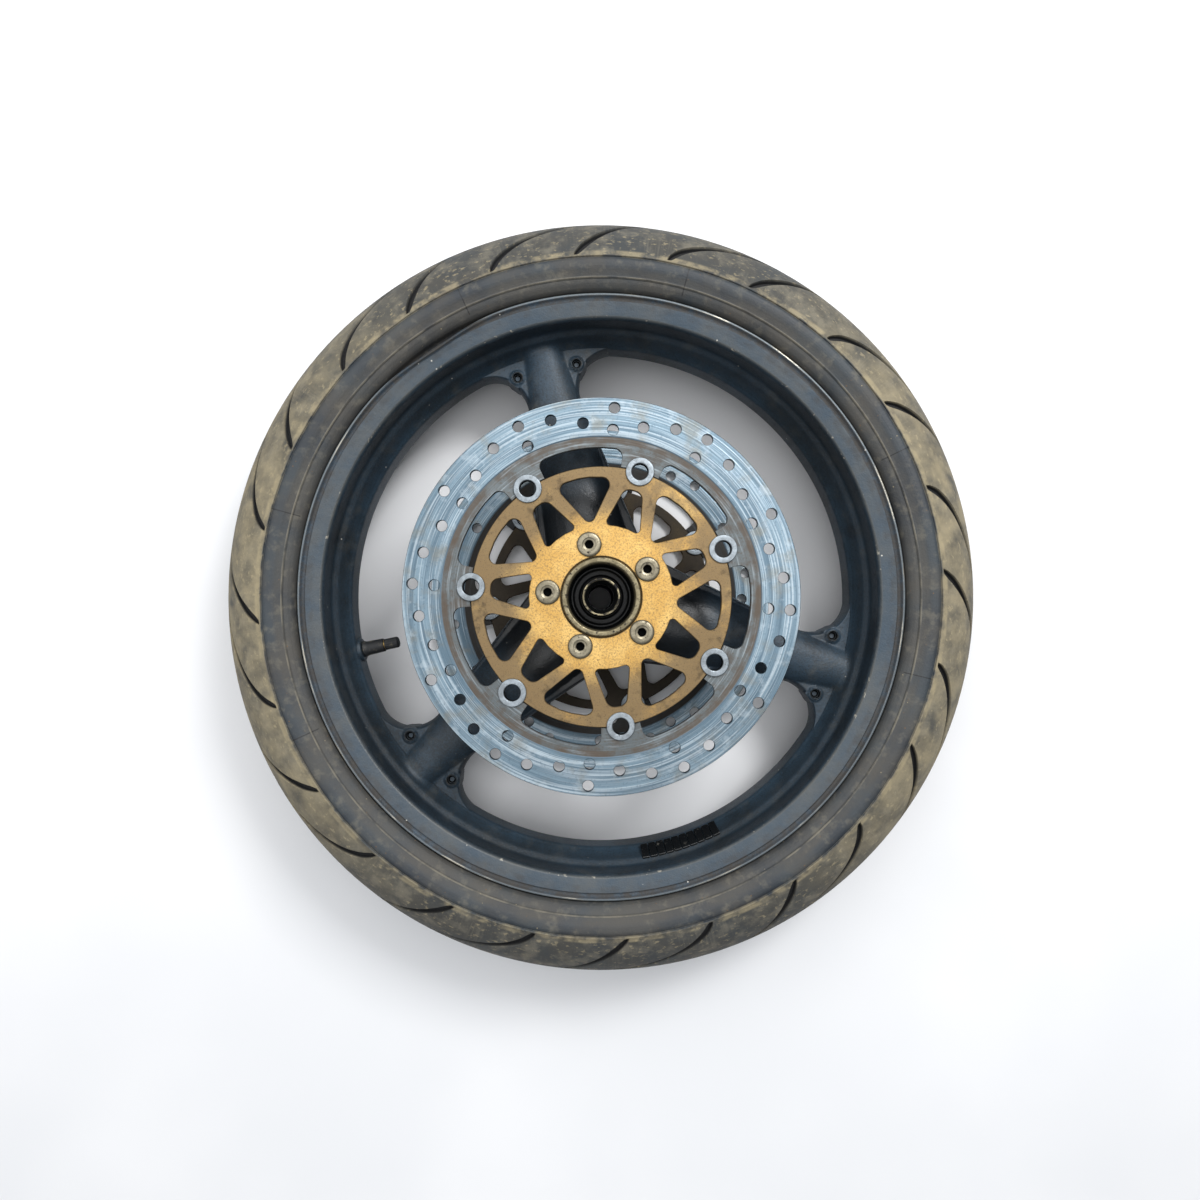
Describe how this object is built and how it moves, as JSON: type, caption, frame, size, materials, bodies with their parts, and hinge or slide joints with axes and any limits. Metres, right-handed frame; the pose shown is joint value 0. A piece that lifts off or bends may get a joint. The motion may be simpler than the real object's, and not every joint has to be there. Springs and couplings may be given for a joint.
{
  "type": "motorcycle front wheel",
  "caption": "Motorcycle front wheel lying flat: cast spoked rim, radial road tyre, floating brake discs on gold carriers, hub bearings and tyre valve.",
  "frame": {"origin": "centre of the wheel, on the axle line in the rim's middle plane", "axes": "+Z along the axle out of the left disc, so the wheel lies on its right side; +X and +Y across the wheel, with one spoke at 103.3 degrees from +X"},
  "size_m": [0.6, 0.6, 0.122],
  "materials": {
    "wheel_paint": "dark blue-grey gloss paint over cast aluminium, dusty, chipped at the lip",
    "tyre_rubber": "worn matt rubber with tan road dust",
    "disc_steel": "stainless steel with circular pad scoring",
    "gold_anodising": "gold anodising, worn and speckled",
    "bright_steel": "turned and plated steel",
    "black_rubber": "moulded black rubber",
    "brass": "turned brass",
    "weight_lead": "black coated weights"
  },
  "bodies": {
    "wheel": {"wheel_casting": "wheel_paint", "tyre": "tyre_rubber", "balance_weights": "weight_lead", "valve_rubber": "black_rubber", "valve_tube": "brass", "valve_core": "brass", "left_bearing_outer_race": "bright_steel", "left_dust_seal": "black_rubber", "left_carrier": "gold_anodising", "left_bobbin_1": "bright_steel", "left_bobbin_2": "bright_steel", "left_bobbin_3": "bright_steel", "left_bobbin_4": "bright_steel", "left_bobbin_5": "bright_steel", "left_bobbin_6": "bright_steel", "left_bobbin_7": "bright_steel", "left_disc_bolt_1": "bright_steel", "left_disc_bolt_2": "bright_steel", "left_disc_bolt_3": "bright_steel", "left_disc_bolt_4": "bright_steel", "left_disc_bolt_5": "bright_steel", "right_bearing_outer_race": "bright_steel", "right_dust_seal": "black_rubber", "right_carrier": "gold_anodising", "right_bobbin_1": "bright_steel", "right_bobbin_2": "bright_steel", "right_bobbin_3": "bright_steel", "right_bobbin_4": "bright_steel", "right_bobbin_5": "bright_steel", "right_bobbin_6": "bright_steel", "right_bobbin_7": "bright_steel", "right_disc_bolt_1": "bright_steel", "right_disc_bolt_2": "bright_steel", "right_disc_bolt_3": "bright_steel", "right_disc_bolt_4": "bright_steel", "right_disc_bolt_5": "bright_steel"},
    "left_rotor": {"left_rotor": "disc_steel"},
    "right_rotor": {"right_rotor": "disc_steel"},
    "axle_sleeve": {"distance_tube": "bright_steel", "left_bearing_inner_race": "bright_steel", "left_collar": "bright_steel", "right_bearing_inner_race": "bright_steel", "right_collar": "bright_steel"},
    "left_ball_cage": {"left_bearing_ball_cage": "bright_steel"},
    "right_ball_cage": {"right_bearing_ball_cage": "bright_steel"},
    "valve_cap": {"valve_cap": "black_rubber"},
    "valve_pin": {"valve_pin": "brass"}
  },
  "joints": [
    {"name": "axle_sleeve_spin", "type": "hinge", "parent": "wheel", "child": "axle_sleeve", "pos_m": [0, 0, 0], "axis": [0, 0, 1], "continuous": true},
    {"name": "left_ball_cage_roll", "type": "hinge", "parent": "wheel", "child": "left_ball_cage", "pos_m": [0, 0, 0.032], "axis": [0, 0, 1], "continuous": true},
    {"name": "right_ball_cage_roll", "type": "hinge", "parent": "wheel", "child": "right_ball_cage", "pos_m": [0, 0, -0.032], "axis": [0, 0, 1], "continuous": true},
    {"name": "left_rotor_float", "type": "slide", "parent": "wheel", "child": "left_rotor", "axis": [0, 0, 1], "range_m": [-0.00025, 0.00025]},
    {"name": "right_rotor_float", "type": "slide", "parent": "wheel", "child": "right_rotor", "axis": [0, 0, 1], "range_m": [-0.00025, 0.00025]},
    {"name": "valve_cap_unscrew", "type": "slide", "parent": "wheel", "child": "valve_cap", "axis": [0.9774, 0.2113, 0], "range_m": [0, 0.012]},
    {"name": "valve_pin_press", "type": "slide", "parent": "wheel", "child": "valve_pin", "axis": [-0.9774, -0.2113, 0], "range_m": [0, 0.0015], "stiffness_N_per_m": 200}
  ],
  "couplings": [
    {"joint": "left_ball_cage_roll", "follows": "axle_sleeve_spin", "ratio": 0.3929},
    {"joint": "right_ball_cage_roll", "follows": "axle_sleeve_spin", "ratio": 0.3929}
  ]
}
